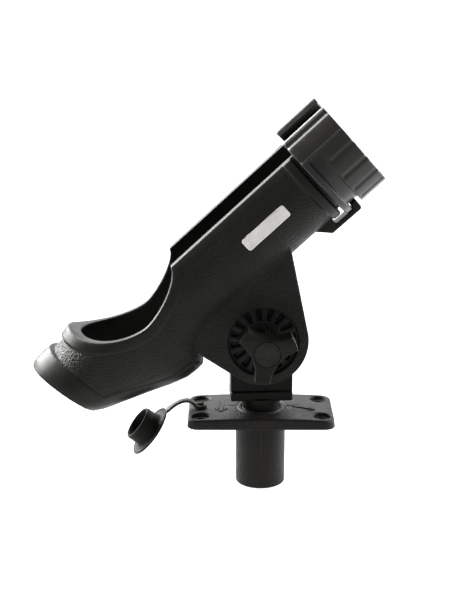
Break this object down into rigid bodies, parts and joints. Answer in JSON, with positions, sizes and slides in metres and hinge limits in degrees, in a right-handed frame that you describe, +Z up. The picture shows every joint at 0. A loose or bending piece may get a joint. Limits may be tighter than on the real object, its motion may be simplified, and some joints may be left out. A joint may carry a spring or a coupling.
{
  "type": "fishing rod holder",
  "caption": "Open-topped fishing rod holder with a turning lock ring, tilting on a knob-clamped knuckle whose post stands in a flush deck socket with a tethered rubber cap.",
  "frame": {"origin": "centre of the deck plate's underside, on the axis of the socket and post", "axes": "+Z up out of the deck along the socket's axis, +X along the plate's length toward the raised front end, the knob on the -Y side"},
  "size_m": [0.2402, 0.092, 0.2706],
  "materials": {
    "plate_black": "grained, semi-matt moulded nylon",
    "post_black": "semi-matt moulded nylon",
    "moulded_black": "leather-grained moulded nylon with smooth rims",
    "ring_black": "smooth satin moulded nylon",
    "badge_silver": "satin, blank",
    "knob_black": "satin moulded nylon",
    "insert_brass": "turned",
    "washer_steel": "stamped",
    "bolt_steel": "plain",
    "button_rubber": "matt",
    "strap_rubber": "matt",
    "cap_rubber": "matt"
  },
  "bodies": {
    "mount": {"deck_mount": "plate_black"},
    "post": {"swivel_post": "post_black"},
    "holder": {"holder_body": "moulded_black", "badge_plate": "badge_silver", "tilt_bolt": "bolt_steel"},
    "ring": {"locking_ring": "ring_black"},
    "washer": {"clamp_washer": "washer_steel"},
    "knob": {"clamp_knob": "knob_black", "knob_insert": "insert_brass"},
    "tether": {"cap_button": "button_rubber", "cap_strap": "strap_rubber"},
    "cap": {"cap_plug": "cap_rubber"}
  },
  "joints": [
    {"name": "post_swivel", "type": "hinge", "parent": "mount", "child": "post", "pos_m": [0, 0, 0], "axis": [0, 0, 1], "continuous": true},
    {"name": "holder_tilt", "type": "hinge", "parent": "post", "child": "holder", "pos_m": [0, 0, 0.0616], "axis": [0.0584, -0.9983, 0], "range_deg": [-75, 4]},
    {"name": "ring_turn", "type": "hinge", "parent": "holder", "child": "ring", "pos_m": [0.04395, 0.00257, 0.18779], "axis": [0.7372, 0.0432, 0.6743], "range_deg": [0, 95]},
    {"name": "clamp_travel", "type": "slide", "parent": "holder", "child": "washer", "axis": [0.0584, -0.9983, 0], "range_m": [0, 0.0025]},
    {"name": "knob_turn", "type": "hinge", "parent": "washer", "child": "knob", "pos_m": [0, 0, 0.0616], "axis": [0.0584, -0.9983, 0], "range_deg": [0, 720]},
    {"name": "cap_swivel", "type": "hinge", "parent": "mount", "child": "tether", "pos_m": [-0.0424, 0, 0], "axis": [0, 0, 1], "range_deg": [-35, 35]},
    {"name": "cap_flex", "type": "hinge", "parent": "tether", "child": "cap", "pos_m": [-0.0665, 0, 0.0042], "axis": [0, 1, 0], "range_deg": [-15, 15], "stiffness_Nm_per_rad": 0.15}
  ],
  "couplings": [
    {"joint": "clamp_travel", "follows": "knob_turn", "m_per_rad": 0.00019894}
  ]
}
